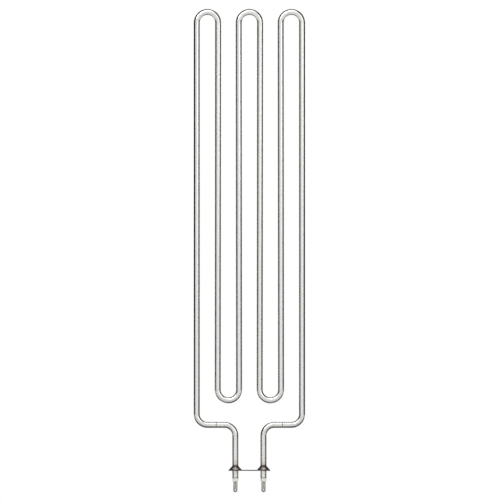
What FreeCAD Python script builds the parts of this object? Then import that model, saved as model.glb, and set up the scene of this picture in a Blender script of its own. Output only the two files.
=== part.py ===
"""Tubular heating element: a steel-sheathed tube bent into three tall loops, whose two ends
come down side by side through one pressed flange and end in flat push-on terminals.

Millimetres, +Z up. The origin is the middle of the flange's lower face, which seats on the
appliance. The tube lies in the XZ plane, and the front of the element faces -Y.
"""

import FreeCAD
import Part

import math
import os
from dataclasses import dataclass

Vector = FreeCAD.Vector

# Sheath, the drawn steel tube that everything else hangs on
TUBE_DIAMETER = 8.5
TUBE_WALL = 0.8
BEND_RADIUS = 15.2  # to the tube's centreline, the same for every bend

# Serpentine, with heights from the flange's lower face to the tube's centreline
LOOP_COUNT = 3
LOOP_PITCH = 59.7
LOOP_TOP_HEIGHT = 652.7
LOWER_BEND_HEIGHT = 100.3
ARM_HEIGHT = 65.4
TERMINAL_SPACING = 40.0
TAIL_LENGTH = 10.1  # sheath below the flange

# Ring grooves that mark where the heated length begins
UNHEATED_LENGTH = 96.2  # from each end of the sheath, along the tube
GROOVE_WIDTH = 1.2
GROOVE_DEPTH = 0.3

# Inside of the tube
PIN_DIAMETER = 3.0
PIN_IN_COIL = 12.0  # the coil is wound on to this much of each pin
COIL_WIRE = 0.6
SEAL_LENGTH = 4.0

# Ceramic bead in each end of the sheath
BEAD_DIAMETER = 8.6
BEAD_HEIGHT = 4.9
BEAD_EDGE_RADIUS = 1.0  # round its lower face
BEAD_SHOULDER_RADIUS = 0.25
SPIGOT_LENGTH = 5.0
SPIGOT_CLEARANCE = 0.1
PIN_CLEARANCE = 0.1

# Flat push-on terminal, welded to a flat on its pin
TAB_WIDTH = 6.3
TAB_THICKNESS = 0.8
TAB_LENGTH = 15.2
TAB_GAP = 0.2  # between the bead and the terminal
TAB_HOLE_DIAMETER = 1.6
TAB_HOLE_FROM_TIP = 3.3
TAB_EDGE_CHAMFER = 0.2
WELD_LENGTH = 6.0  # how far each pin runs down behind its terminal

# Pressed flange with a conical boss round each leg
FLANGE_THICKNESS = 1.5
FLANGE_WIDTH = 19.4
FLANGE_EDGE_RADIUS = 0.2
BOSS_HEIGHT = 5.6
BOSS_BASE_RADIUS = 9.3
BOSS_TOP_RADIUS = 5.6
BOSS_SHOULDER_RADIUS = 0.3
BOSS_FOOT_RADIUS = 0.2
LEG_CLEARANCE = 0.1
FIXING_HOLE_DIAMETER = 4.3

# Brazing metal that joins each boss to its leg
BRAZE_HEIGHT = 1.9
BRAZE_TOP_WIDTH = 0.45
BRAZE_SAG = 0.2  # how far its face hangs in from a straight cone
BRAZE_FACE_RADIUS = 2.5

# Worked out from the sizes above
TUBE_RADIUS = TUBE_DIAMETER / 2
BORE_RADIUS = TUBE_RADIUS - TUBE_WALL
PIN_RADIUS = PIN_DIAMETER / 2
COIL_RADIUS = PIN_RADIUS + COIL_WIRE
BEAD_BOTTOM = -TAIL_LENGTH - BEAD_HEIGHT
TAB_TOP = BEAD_BOTTOM - TAB_GAP
LEG_HOLE_RADIUS = TUBE_RADIUS + LEG_CLEARANCE
BOSS_RISE = BOSS_HEIGHT - FLANGE_THICKNESS
BOSS_TAPER = BOSS_BASE_RADIUS - BOSS_TOP_RADIUS
BOSS_SLOPE = math.atan2(BOSS_RISE, BOSS_TAPER)

FRONT = Vector(0, -1, 0)  # towards the viewer, so turns about it look anticlockwise
UP = Vector(0, 0, 1)
SAME = 1e-6  # lengths closer than this are one length
MAX_EDGE_SHARE = 0.4  # of a wall, for the size of a rounded or chamfered edge on it
FULL_TURN = 360


def left_of(heading):
    """The direction to the left of a heading in the XZ plane, seen from the front."""
    return FRONT.cross(heading)


def turned(heading, angle):
    """A heading turned anticlockwise by an angle in radians, seen from the front."""
    return heading * math.cos(angle) + left_of(heading) * math.sin(angle)


def disc(radius, centre, normal):
    """A round flat face."""
    return Part.Face(Part.Wire(Part.makeCircle(radius, centre, normal)))


def section(centre, normal, radius, bore_radius):
    """The section of a tube, or of a rod where the bore is nil."""
    face = disc(radius, centre, normal)
    return face.cut(disc(bore_radius, centre, normal)) if bore_radius else face


@dataclass(frozen=True)
class Run:
    """A straight stretch of centreline."""

    start: Vector
    heading: Vector
    length: float

    def between(self, first, last):
        return Run(self.start + self.heading * first, self.heading, last - first)

    def solid(self, radius, bore_radius):
        ring = section(self.start, self.heading, radius, bore_radius)
        return ring.extrude(self.heading * self.length)


@dataclass(frozen=True)
class Bend:
    """A stretch of centreline round a bending roll. A positive angle turns left."""

    start: Vector
    heading: Vector
    angle: float

    @property
    def side(self):
        return math.copysign(1.0, self.angle)

    @property
    def length(self):
        return abs(self.angle) * BEND_RADIUS

    @property
    def centre(self):
        return self.start + left_of(self.heading) * (self.side * BEND_RADIUS)

    def between(self, first, last):
        entry = self.side * first / BEND_RADIUS
        heading = turned(self.heading, entry)
        start = self.centre - left_of(heading) * (self.side * BEND_RADIUS)
        return Bend(start, heading, self.side * (last - first) / BEND_RADIUS)

    def solid(self, radius, bore_radius):
        ring = section(self.start, self.heading, radius, bore_radius)
        return ring.revolve(self.centre, FRONT, math.degrees(self.angle))


@dataclass(frozen=True)
class Roll:
    """A roll that the tube is bent round: side 1 turns left, -1 turns right, 0 is an open end."""

    centre: Vector
    side: int

    def tangent_point(self, heading):
        return self.centre - left_of(heading) * (self.side * BEND_RADIUS)


def heading_between(roll, following):
    """The heading of the straight run that is tangent to two rolls."""
    offset = following.centre - roll.centre
    sideways = BEND_RADIUS * (following.side - roll.side)
    direction = Vector(offset).normalize()
    return turned(direction, -math.asin(sideways / offset.Length))


def centreline(rolls):
    """The runs and bends of a tube that is led round rolls from one open end to the other."""
    pairs = list(zip(rolls, rolls[1:]))
    headings = [heading_between(a, b) for a, b in pairs]
    stretches = []
    for number, ((roll, following), heading) in enumerate(zip(pairs, headings)):
        if roll.side:
            arriving = headings[number - 1]
            turn = math.atan2(left_of(arriving) * heading, arriving * heading)
            angle = roll.side * ((roll.side * turn) % (2 * math.pi))
            stretches.append(Bend(roll.tangent_point(arriving), arriving, angle))
        start = roll.tangent_point(heading)
        run = following.tangent_point(heading) - start
        stretches.append(Run(start, heading, run.Length))
    return stretches


def length_of(stretches):
    return sum(stretch.length for stretch in stretches)


def between(stretches, first, last):
    """The part of a centreline between two distances from its start."""
    kept = []
    passed = 0.0
    for stretch in stretches:
        begin = max(first - passed, 0.0)
        end = min(last - passed, stretch.length)
        if end - begin > SAME:
            kept.append(stretch.between(begin, end))
        passed += stretch.length
    return kept


def joined(solids):
    """Solids that meet end to end, as one."""
    return solids[0].multiFuse(solids[1:]).Solids[0]


def swept(stretches, radius, bore_radius=0.0):
    """One solid of round section along a centreline, hollow where it has a bore."""
    return joined([stretch.solid(radius, bore_radius) for stretch in stretches])


def serpentine():
    """The element's centreline, from the left open end of the sheath to the right one."""
    top_z = LOOP_TOP_HEIGHT - BEND_RADIUS
    lower_z = LOWER_BEND_HEIGHT + BEND_RADIUS
    leg_x = TERMINAL_SPACING / 2
    last_x = LOOP_PITCH * (LOOP_COUNT - 1) / 2

    loops = []
    for number in range(LOOP_COUNT):
        x = LOOP_PITCH * number - last_x
        loops.append(Roll(Vector(x, 0, top_z), -1))
        loops.append(Roll(Vector(x + LOOP_PITCH / 2, 0, lower_z), 1))
    loops.pop()  # the last loop has no lower bend after it

    def terminal_leg(mirror):
        return [
            Roll(Vector(mirror * leg_x, 0, -TAIL_LENGTH), 0),
            Roll(Vector(mirror * (leg_x + BEND_RADIUS), 0, ARM_HEIGHT - BEND_RADIUS), 1),
            Roll(Vector(mirror * last_x, 0, ARM_HEIGHT + BEND_RADIUS), -1),
        ]

    return centreline(terminal_leg(-1) + loops + terminal_leg(1)[::-1])


@dataclass(frozen=True)
class Corner:
    """A corner of a turned outline, and the radius that it is rounded to."""

    radius: float
    height: float
    rounding: float = 0.0

    @property
    def point(self):
        return Vector(self.radius, 0, self.height)

    def arc(self, before, after):
        """Where the outline reaches, rounds and leaves the corner."""
        back = (before.point - self.point).normalize()
        ahead = (after.point - self.point).normalize()
        half = back.getAngle(ahead) / 2
        inward = (back + ahead).normalize()
        reach = self.rounding / math.tan(half)
        middle = inward * (self.rounding / math.sin(half) - self.rounding)
        return [self.point + step for step in (back * reach, middle, ahead * reach)]


def turned_part(outline):
    """A solid of revolution about Z from a closed outline, whose last corner is sharp."""
    edges = []
    last = outline[-1].point
    for before, corner, after in zip(outline[-1:] + outline, outline, outline[1:] + outline[:1]):
        start, middle, end = corner.arc(before, after) if corner.rounding else [corner.point] * 3
        if last.distanceToPoint(start) > SAME:
            edges.append(Part.makeLine(last, start))
        if corner.rounding:
            edges.append(Part.Arc(start, middle, end).toShape())
        last = end
    return Part.Face(Part.Wire(edges)).revolve(Vector(0, 0, 0), UP, FULL_TURN)


def edge_size(wanted, wall):
    """A rounded or chamfered edge's size, kept within what its wall has room for."""
    return min(wanted, wall * MAX_EDGE_SHARE)


def witness_groove(mark):
    """The torus that rolls a ring groove into the sheath where a stretch of centreline starts."""
    roll_radius = (GROOVE_WIDTH**2 / 4 + GROOVE_DEPTH**2) / (2 * GROOVE_DEPTH)
    ring_radius = TUBE_RADIUS + roll_radius - GROOVE_DEPTH
    return Part.makeTorus(ring_radius, roll_radius, mark.start, mark.heading)


def sheath(path):
    """The bent steel tube, with a groove round it at each end of the heated length."""
    heated = between(path, UNHEATED_LENGTH, length_of(path) - UNHEATED_LENGTH)
    cold_end = between(path, length_of(path) - UNHEATED_LENGTH, length_of(path))
    tube = swept(path, TUBE_RADIUS, BORE_RADIUS)
    return tube.cut([witness_groove(heated[0]), witness_groove(cold_end[0])])


def resistance_coil(path):
    """The heating coil between the pins, as a sleeve of the coil's inner and outer size."""
    heated = between(path, UNHEATED_LENGTH, length_of(path) - UNHEATED_LENGTH)
    return swept(heated, COIL_RADIUS, PIN_RADIUS)


def magnesia_fill(path):
    """The packed magnesia: a sleeve round the coil and pins, and a core inside the coil."""
    total = length_of(path)
    fill_start = SPIGOT_LENGTH + SEAL_LENGTH
    pin_end = UNHEATED_LENGTH + PIN_IN_COIL
    lengths = [
        (fill_start, UNHEATED_LENGTH, PIN_RADIUS),
        (UNHEATED_LENGTH, total - UNHEATED_LENGTH, COIL_RADIUS),
        (total - UNHEATED_LENGTH, total - fill_start, PIN_RADIUS),
    ]
    sleeves = [
        swept(between(path, first, last), BORE_RADIUS, inner)
        for first, last, inner in lengths
    ]
    core = swept(between(path, pin_end, total - pin_end), PIN_RADIUS)
    return Part.makeCompound([joined(sleeves), core])


def terminal_pin(path, mirror):
    """The steel pin from behind the terminal, through the cold leg and into the coil."""
    inside = swept(between(path, 0, UNHEATED_LENGTH + PIN_IN_COIL), PIN_RADIUS)
    pin_bottom = TAB_TOP - WELD_LENGTH
    leg_x = -TERMINAL_SPACING / 2
    outside = Part.makeCylinder(
        PIN_RADIUS, -TAIL_LENGTH - pin_bottom, Vector(leg_x, 0, pin_bottom), UP
    )
    seat = Part.makeBox(
        PIN_DIAMETER,
        PIN_RADIUS + TAB_THICKNESS / 2,
        TAB_TOP - pin_bottom,
        Vector(leg_x - PIN_RADIUS, -PIN_RADIUS, pin_bottom),
    )
    pin = inside.fuse(outside).removeSplitter().cut(seat).Solids[0]
    return mirrored(pin) if mirror else pin


def end_seal():
    """The resin plug between the magnesia and the bead, round the pin."""
    bottom = -TAIL_LENGTH + SPIGOT_LENGTH
    return Part.makeCylinder(BORE_RADIUS, SEAL_LENGTH, Vector(0, 0, bottom)).cut(
        Part.makeCylinder(PIN_RADIUS, SEAL_LENGTH, Vector(0, 0, bottom))
    )


def ceramic_bead():
    """The insulating bead, with a spigot in the sheath and a hole for the pin."""
    hole_radius = PIN_RADIUS + PIN_CLEARANCE
    spigot_radius = BORE_RADIUS - SPIGOT_CLEARANCE
    body_radius = BEAD_DIAMETER / 2
    spigot_end = -TAIL_LENGTH + SPIGOT_LENGTH
    lower_edge = edge_size(BEAD_EDGE_RADIUS, body_radius - hole_radius)
    shoulder = edge_size(BEAD_SHOULDER_RADIUS, body_radius - spigot_radius)
    return turned_part(
        [
            Corner(hole_radius, BEAD_BOTTOM),
            Corner(body_radius, BEAD_BOTTOM, lower_edge),
            Corner(body_radius, -TAIL_LENGTH, shoulder),
            Corner(spigot_radius, -TAIL_LENGTH),
            Corner(spigot_radius, spigot_end, shoulder),
            Corner(hole_radius, spigot_end),
        ]
    )


def tab_terminal():
    """The flat blade with a round tip and a latching hole, seated on the pin's flat."""
    half = TAB_WIDTH / 2
    tip_z = TAB_TOP - TAB_LENGTH
    back = TAB_THICKNESS / 2

    def at(x, z):
        return Vector(x, back, z)

    outline = [
        Part.makeLine(at(-half, tip_z + half), at(-half, TAB_TOP)),
        Part.makeLine(at(-half, TAB_TOP), at(half, TAB_TOP)),
        Part.makeLine(at(half, TAB_TOP), at(half, tip_z + half)),
        Part.Arc(at(half, tip_z + half), at(0, tip_z), at(-half, tip_z + half)).toShape(),
    ]
    blade = Part.Face(Part.Wire(outline)).extrude(FRONT * TAB_THICKNESS)
    coined = [edge for edge in blade.Edges if abs(edge.CenterOfMass.y) > back - SAME]
    blade = blade.makeChamfer(edge_size(TAB_EDGE_CHAMFER, TAB_THICKNESS), coined)
    hole = Part.makeCylinder(
        TAB_HOLE_DIAMETER / 2,
        TAB_THICKNESS,
        at(0, tip_z + TAB_HOLE_FROM_TIP),
        FRONT,
    )
    return blade.cut(hole)


def flange_plate():
    """The flat plate of the flange, with round ends and softened edges."""
    half_width = FLANGE_WIDTH / 2
    leg_x = TERMINAL_SPACING / 2
    middle = Part.makeBox(
        TERMINAL_SPACING, FLANGE_WIDTH, FLANGE_THICKNESS, Vector(-leg_x, -half_width, 0)
    )
    ends = [
        Part.makeCylinder(half_width, FLANGE_THICKNESS, Vector(x, 0, 0)) for x in (-leg_x, leg_x)
    ]
    plate = middle.multiFuse(ends).removeSplitter()
    outline = [edge for edge in plate.Edges if abs(edge.tangentAt(edge.FirstParameter).z) < SAME]
    return plate.makeFillet(edge_size(FLANGE_EDGE_RADIUS, FLANGE_THICKNESS), outline)


def bend_reach(rounding):
    """How far a bend between the plate's level and a boss's slope runs from its corner."""
    return rounding * math.tan(BOSS_SLOPE / 2)


def boss():
    """A solid cone as wide and high as a boss, with a small foot on the plate."""
    foot_radius = BOSS_BASE_RADIUS + bend_reach(BOSS_FOOT_RADIUS)
    return turned_part(
        [
            Corner(0, 0),
            Corner(foot_radius, 0),
            Corner(foot_radius, FLANGE_THICKNESS),
            Corner(BOSS_BASE_RADIUS, FLANGE_THICKNESS, BOSS_FOOT_RADIUS),
            Corner(BOSS_TOP_RADIUS, BOSS_HEIGHT, BOSS_SHOULDER_RADIUS),
            Corner(0, BOSS_HEIGHT),
        ]
    )


def boss_hollow():
    """The hollow under a boss, which leaves the plate's thickness, and the hole for the leg."""
    mouth_radius = BOSS_BASE_RADIUS - FLANGE_THICKNESS * math.tan(BOSS_SLOPE / 2)
    inner_height = (mouth_radius - LEG_HOLE_RADIUS) * BOSS_RISE / BOSS_TAPER
    lip_radius = mouth_radius + bend_reach(BOSS_FOOT_RADIUS)
    return turned_part(
        [
            Corner(0, -FLANGE_THICKNESS),
            Corner(lip_radius, -FLANGE_THICKNESS),
            Corner(lip_radius, 0),
            Corner(mouth_radius, 0, BOSS_FOOT_RADIUS),
            Corner(LEG_HOLE_RADIUS, inner_height),
            Corner(LEG_HOLE_RADIUS, BOSS_HEIGHT),
            Corner(0, BOSS_HEIGHT),
        ]
    )


def mounting_flange():
    """The pressed plate with a conical boss for each leg and a hole for one screw."""
    legs = [Vector(side * TERMINAL_SPACING / 2, 0, 0) for side in (-1, 1)]
    pressed = flange_plate().multiFuse([boss().translated(leg) for leg in legs])
    screw_hole = Part.makeCylinder(FIXING_HOLE_DIAMETER / 2, FLANGE_THICKNESS)
    holes = [boss_hollow().translated(leg) for leg in legs] + [screw_hole]
    return pressed.cut(holes).removeSplitter().Solids[0]


def braze_ring():
    """The fillet of brazing metal between the top of a boss and the leg, with a hollow face."""
    base_radius = BOSS_TOP_RADIUS - bend_reach(BOSS_SHOULDER_RADIUS)
    top_radius = TUBE_RADIUS + BRAZE_TOP_WIDTH
    top = BOSS_HEIGHT + BRAZE_HEIGHT
    middle_radius = (base_radius + top_radius) / 2 - BRAZE_SAG
    return turned_part(
        [
            Corner(TUBE_RADIUS, BOSS_HEIGHT),
            Corner(base_radius, BOSS_HEIGHT),
            Corner(middle_radius, BOSS_HEIGHT + BRAZE_HEIGHT / 2, BRAZE_FACE_RADIUS),
            Corner(top_radius, top),
            Corner(TUBE_RADIUS, top),
        ]
    )


def mirrored(solid):
    """The same piece on the other side of the element."""
    return solid.mirror(Vector(0, 0, 0), Vector(1, 0, 0))


def on_legs(name, solid):
    """The left and right copies of a piece that was made round the Z axis."""
    leg = Vector(TERMINAL_SPACING / 2, 0, 0)
    return {
        name + "_left": solid.translated(leg * -1),
        name + "_right": mirrored(solid.translated(leg * -1)),
    }


def build():
    """Every piece of the element by node name."""
    path = serpentine()
    return {
        "sheath": sheath(path),
        "resistance_coil": resistance_coil(path),
        "magnesia_fill": magnesia_fill(path),
        "terminal_pin_left": terminal_pin(path, mirror=False),
        "terminal_pin_right": terminal_pin(path, mirror=True),
        "mounting_flange": mounting_flange(),
        **on_legs("end_seal", end_seal()),
        **on_legs("ceramic_bead", ceramic_bead()),
        **on_legs("tab_terminal", tab_terminal()),
        **on_legs("braze_ring", braze_ring()),
    }


def main():
    os.makedirs("parts", exist_ok=True)
    for name, shape in build().items():
        shape.exportStep(f"parts/{name}.step")
        print(f"{name}: {shape.Volume:.1f} mm3, valid {shape.isValid()}")


main()
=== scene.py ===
"""Visual model of a tubular heating element: a steel-sheathed tube bent into three tall loops on
a pressed flange, with ceramic beads and flat push-on terminals at its two ends.

Metres, +Z up. The origin is the middle of the flange's lower face. The tube lies in the XZ
plane, and the front of the element faces -Y.
"""

import logging
import math
from abc import ABC, abstractmethod
from collections.abc import Callable, Sequence
from dataclasses import dataclass, field, replace
from enum import Enum
from itertools import accumulate
from typing import ClassVar

import bmesh
import bpy
from mathutils import Matrix, Vector
from mathutils.geometry import delaunay_2d_cdt


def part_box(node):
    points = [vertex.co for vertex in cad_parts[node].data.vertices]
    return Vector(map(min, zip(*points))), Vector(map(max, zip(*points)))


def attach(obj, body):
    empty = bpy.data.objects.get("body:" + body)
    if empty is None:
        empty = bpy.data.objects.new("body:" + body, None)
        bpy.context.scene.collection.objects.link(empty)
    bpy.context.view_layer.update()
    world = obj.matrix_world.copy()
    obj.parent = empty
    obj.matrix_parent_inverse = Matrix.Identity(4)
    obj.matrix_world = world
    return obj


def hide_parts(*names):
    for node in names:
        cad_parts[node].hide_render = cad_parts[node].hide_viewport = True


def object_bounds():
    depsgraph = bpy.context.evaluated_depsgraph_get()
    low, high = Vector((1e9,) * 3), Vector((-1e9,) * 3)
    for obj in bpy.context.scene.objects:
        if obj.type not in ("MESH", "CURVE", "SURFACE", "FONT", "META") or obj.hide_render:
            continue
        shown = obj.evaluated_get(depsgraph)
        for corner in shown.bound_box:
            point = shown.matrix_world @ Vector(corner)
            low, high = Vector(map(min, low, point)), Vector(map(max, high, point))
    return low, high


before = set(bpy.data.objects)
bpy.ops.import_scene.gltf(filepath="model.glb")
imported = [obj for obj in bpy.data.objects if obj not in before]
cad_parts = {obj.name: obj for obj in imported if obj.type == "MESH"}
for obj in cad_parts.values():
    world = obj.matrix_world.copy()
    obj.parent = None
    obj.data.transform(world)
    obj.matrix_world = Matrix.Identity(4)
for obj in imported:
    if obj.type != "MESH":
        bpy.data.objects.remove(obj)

CAD_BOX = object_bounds()
BODY = "root"
LOG = logging.getLogger("heating_element")

MM = 0.001
QUARTER_TURN = math.pi / 2
FULL_TURN = 2 * math.pi

Colour = tuple[float, float, float, float]
Face = tuple[int, ...]
Point = tuple[float, float]
Range = tuple[float, float]
Triple = tuple[float, float, float]


class Side(Enum):
    """One of the element's two ends, with the sign of its place along X."""

    LEFT = -1
    RIGHT = 1

    @property
    def label(self) -> str:
        """The side as it stands at the end of a node's name."""
        return self.name.lower()


class Run(Enum):
    """Which way a sheet part lies: its two outline directions and the way its front faces."""

    LEVEL = (Vector((1, 0, 0)), Vector((0, 1, 0)), Vector((0, 0, 1)))
    UPRIGHT = (Vector((1, 0, 0)), Vector((0, 0, 1)), Vector((0, -1, 0)))


# Shader expressions


class Value:
    """An output of a shader node. Sums and products on it add Math nodes."""

    def __init__(self, shader: "Shader", socket: bpy.types.NodeSocket) -> None:
        """Wraps an output socket of a shader's node tree."""
        self.shader = shader
        self.socket = socket

    def __add__(self, other: "Value | float") -> "Value":
        """This value plus another."""
        return self.shader.sum_of("ADD", self, other)

    def __sub__(self, other: "Value | float") -> "Value":
        """This value less another."""
        return self.shader.sum_of("SUBTRACT", self, other)

    def __mul__(self, other: "Value | float") -> "Value":
        """This value times another."""
        return self.shader.sum_of("MULTIPLY", self, other)

    def __radd__(self, other: float) -> "Value":
        """A number plus this value."""
        return self.shader.sum_of("ADD", other, self)

    def __rsub__(self, other: float) -> "Value":
        """A number less this value."""
        return self.shader.sum_of("SUBTRACT", other, self)

    def __rmul__(self, other: float) -> "Value":
        """A number times this value."""
        return self.shader.sum_of("MULTIPLY", other, self)


Sockets = dict[str, "Value | float | Colour | Triple"]


@dataclass(frozen=True)
class Coat:
    """A colour that lies over a surface, and how much of the surface it hides."""

    colour: Colour
    share: float = 1.0


class Shader:
    """The node tree of a material or of the world."""

    background_rays: ClassVar[tuple[str, ...]] = ("Camera", "Glossy", "Transmission")

    def __init__(self, tree: bpy.types.NodeTree) -> None:
        """Empties a node tree and keeps it."""
        self.tree = tree
        tree.nodes.clear()

    def add(self, kind: str, output: str = "", settings: dict[str, str] | None = None,
            sockets: Sockets | None = None) -> Value | None:
        """Adds one node.

        Args:
            kind: the node's type.
            output: the identifier of the output that is wanted, or nothing for an end node.
            settings: the node's own settings, which are set first.
            sockets: a value or a link for each input, by the input's identifier.

        Returns:
            The wanted output.
        """
        node = self.tree.nodes.new(kind)
        for name, setting in (settings or {}).items():
            setattr(node, name, setting)
        inputs = {socket.identifier: socket for socket in node.inputs}
        for name, given in (sockets or {}).items():
            if isinstance(given, Value):
                self.tree.links.new(given.socket, inputs[name])
            else:
                inputs[name].default_value = given
        outputs = {socket.identifier: socket for socket in node.outputs}
        return Value(self, outputs[output]) if output else None

    def sum_of(self, operation: str, first: Value | float, second: Value | float) -> Value:
        """A Math node on two values."""
        sockets = {"Value": first, "Value_001": second}
        return self.add("ShaderNodeMath", "Value", {"operation": operation}, sockets)

    def place(self) -> Value:
        """Where a point of the surface lies, in metres in the element's frame."""
        return self.add("ShaderNodeTexCoord", "Object")

    def attribute(self, name: str, output: str = "Fac") -> Value:
        """A value that the mesh itself carries."""
        return self.add("ShaderNodeAttribute", output, {"attribute_name": name})

    def stretched(self, vector: Value, factors: Triple) -> Value:
        """A vector scaled by one factor along each axis."""
        sockets = {"Vector": vector, "Vector_001": factors}
        return self.add("ShaderNodeVectorMath", "Vector", {"operation": "MULTIPLY"}, sockets)

    def distance(self, vector: Value, centre: Triple) -> Value:
        """How far a place lies from a fixed point."""
        sockets = {"Vector": vector, "Vector_001": centre}
        return self.add("ShaderNodeVectorMath", "Value", {"operation": "DISTANCE"}, sockets)

    def off_level(self, vector: Value, level: float) -> Value:
        """How far a place lies above or below a level."""
        return self.distance(self.stretched(vector, (0, 0, 1)), (0, 0, level))

    def noise(self, vector: Value, spacing: float, detail: float = 2.0) -> Value:
        """Noise between 0 and 1 whose blotches lie at a spacing, under layers of finer detail."""
        sockets = {"Vector": vector, "Scale": 1 / spacing, "Detail": detail}
        return self.add("ShaderNodeTexNoise", "Fac", {}, sockets)

    def ease(self, value: Value, low: float, high: float) -> Value:
        """A smooth step.

        Args:
            value: what it follows.
            low: where it leaves 0.
            high: where it reaches 1.

        Returns:
            The step.
        """
        settings = {"interpolation_type": "SMOOTHSTEP"}
        sockets = {"Value": value, "From Min": low, "From Max": high}
        return self.add("ShaderNodeMapRange", "Result", settings, sockets)

    def blend(self, share: Value | float, first: Value | Colour, second: Value | Colour) -> Value:
        """One colour where the share is 0, turning into another where it is 1."""
        sockets = {"Factor_Float": share, "A_Color": first, "B_Color": second}
        return self.add("ShaderNodeMix", "Result_Color", {"data_type": "RGBA"}, sockets)

    def coated(self, colour: Value | Colour, mask: Value, coat: Coat) -> Value:
        """A colour with a coat over it where the mask is 1."""
        share = mask if coat.share == 1 else mask * coat.share
        return self.blend(share, colour, coat.colour)

    def relief(self, height: Value, depth: float, share: float = 1.0) -> Value:
        """The normal of a surface whose relief, of a height between 0 and 1, shows by a share."""
        sockets = {"Height": height, "Distance": depth, "Strength": share}
        return self.add("ShaderNodeBump", "Normal", {}, sockets)

    def glow(self, level: float) -> Value:
        """A surface that shows one grey and takes no light."""
        sockets = {"Color": grey(level), "Strength": 1.0}
        return self.add("ShaderNodeEmission", "Emission", {}, sockets)

    def mixed(self, share: Value, first: Value, second: Value) -> Value:
        """One surface where the share is 0, turning into another where it is 1."""
        sockets = {"Fac": share, "Shader": first, "Shader_001": second}
        return self.add("ShaderNodeMixShader", "Shader", {}, sockets)

    def principled(self, sockets: Sockets) -> Value:
        """A surface of the usual kind."""
        return self.add("ShaderNodeBsdfPrincipled", "BSDF", {}, sockets)

    def show(self, surface: Value, end: str = "Material") -> None:
        """Ends the tree in a surface."""
        self.add(f"ShaderNodeOutput{end}", sockets={"Surface": surface})

    def seen(self) -> Value:
        """1 for what the camera sees directly, mirrored or through glass, and 0 for light."""
        rays = [self.add("ShaderNodeLightPath", f"Is {kind} Ray") for kind in self.background_rays]
        return self.sum_of("MINIMUM", rays[0] + rays[1] + rays[2], 1.0)


def grey(level: float, warmth: float = 0.0) -> Colour:
    """A grey, made yellower by its warmth."""
    return (level * (1 + warmth / 2), level, level * (1 - warmth), 1.0)


def new_material(name: str) -> tuple[bpy.types.Material, Shader]:
    """Makes a material that has no surface yet.

    Args:
        name: its name.

    Returns:
        The material, and the shader of its node tree.
    """
    material = bpy.data.materials.new(name)
    material.use_nodes = True
    return material, Shader(material.node_tree)


def placed(name: str, data: bpy.types.ID) -> bpy.types.Object:
    """Makes an object and puts it in the scene.

    Args:
        name: its name.
        data: its mesh, lamp or camera.

    Returns:
        The object.
    """
    made = bpy.data.objects.new(name, data)
    bpy.context.scene.collection.objects.link(made)
    return made


# Finishes


@dataclass(frozen=True)
class Finish(ABC):
    """The surface of one kind of metal, ceramic, resin or powder."""

    name: str

    @abstractmethod
    def sockets(self, shader: Shader) -> Sockets:
        """Adds the nodes of the finish and gives what feeds its Principled shader."""

    def material(self) -> bpy.types.Material:
        """Makes a material with the finish.

        Returns:
            The material.
        """
        material, shader = new_material(self.name)
        shader.show(shader.principled(self.sockets(shader)))
        return material


@dataclass(frozen=True)
class SealJointStainAndShade:
    """The line where sheath and bead meet, browned by sealant that seeped from the seal and darkened
    further as painted shade.
    """

    height: float = -10.1 * MM
    # near-black brown: sealant stain deepened into painted shade where sheath and bead meet
    resin: Colour = (0.05, 0.035, 0.025, 1.0)
    near: float = 0.35 * MM
    far: float = 0.85 * MM
    spread: float = 0.35 * MM
    blotch: float = 0.9 * MM

    def stained_and_shaded(self, shader: Shader, colour: Value) -> Value:
        """Stains a surface at the joint and paints shade there.

        Args:
            shader: the surface's node tree.
            colour: its colour.

        Returns:
            The colour with the sealant stain and the painted shade, which has an uneven edge.
        """
        place = shader.place()
        uneven = shader.noise(place, self.blotch) * self.spread
        away = shader.off_level(place, self.height) + uneven
        return shader.blend(1 - shader.ease(away, self.near, self.far), colour, self.resin)


@dataclass(frozen=True)
class SteelPattern:
    """Fine lines and soft clouds, and what they make of bare steel."""

    lines: Value
    clouds: Value
    colour: Value
    roughness: Value


@dataclass(frozen=True)
class LinedSteel(Finish):
    """Steel in two greys, mixed by fine lines and soft clouds."""

    bright: Colour
    dull: Colour
    line_spacing: float
    line_stretch: Triple
    cloud_spacing: float
    relief_depth: float
    roughness: float
    cloud_stretch: Triple = (1, 1, 1)
    cloud_detail: float = 3.0
    line_share: float = 0.4
    line_roughness: float = 0.1
    cloud_roughness: float = 0.1

    def pattern(self, shader: Shader, place: Value) -> SteelPattern:
        """Mixes the steel.

        Args:
            shader: the material's node tree.
            place: where lines and clouds are read.

        Returns:
            Lines and clouds, between 0 and 1, with the colour and roughness that they give.
        """
        lines = shader.noise(shader.stretched(place, self.line_stretch), self.line_spacing)
        cloudy = shader.stretched(place, self.cloud_stretch)
        clouds = shader.noise(cloudy, self.cloud_spacing, self.cloud_detail)
        share = clouds * (1 - self.line_share) + lines * self.line_share
        return SteelPattern(
            lines, clouds, shader.blend(share, self.bright, self.dull),
            self.roughness + lines * self.line_roughness + clouds * self.cloud_roughness,
        )

    def sockets(self, shader: Shader) -> Sockets:
        """Lines and clouds alone.

        Args:
            shader: the material's node tree.

        Returns:
            What feeds the Principled shader.
        """
        bare = self.pattern(shader, shader.place())
        return {
            "Base Color": bare.colour,
            "Metallic": 1.0,
            "Roughness": bare.roughness,
            "Normal": shader.relief(bare.lines, self.relief_depth),
        }


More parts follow.
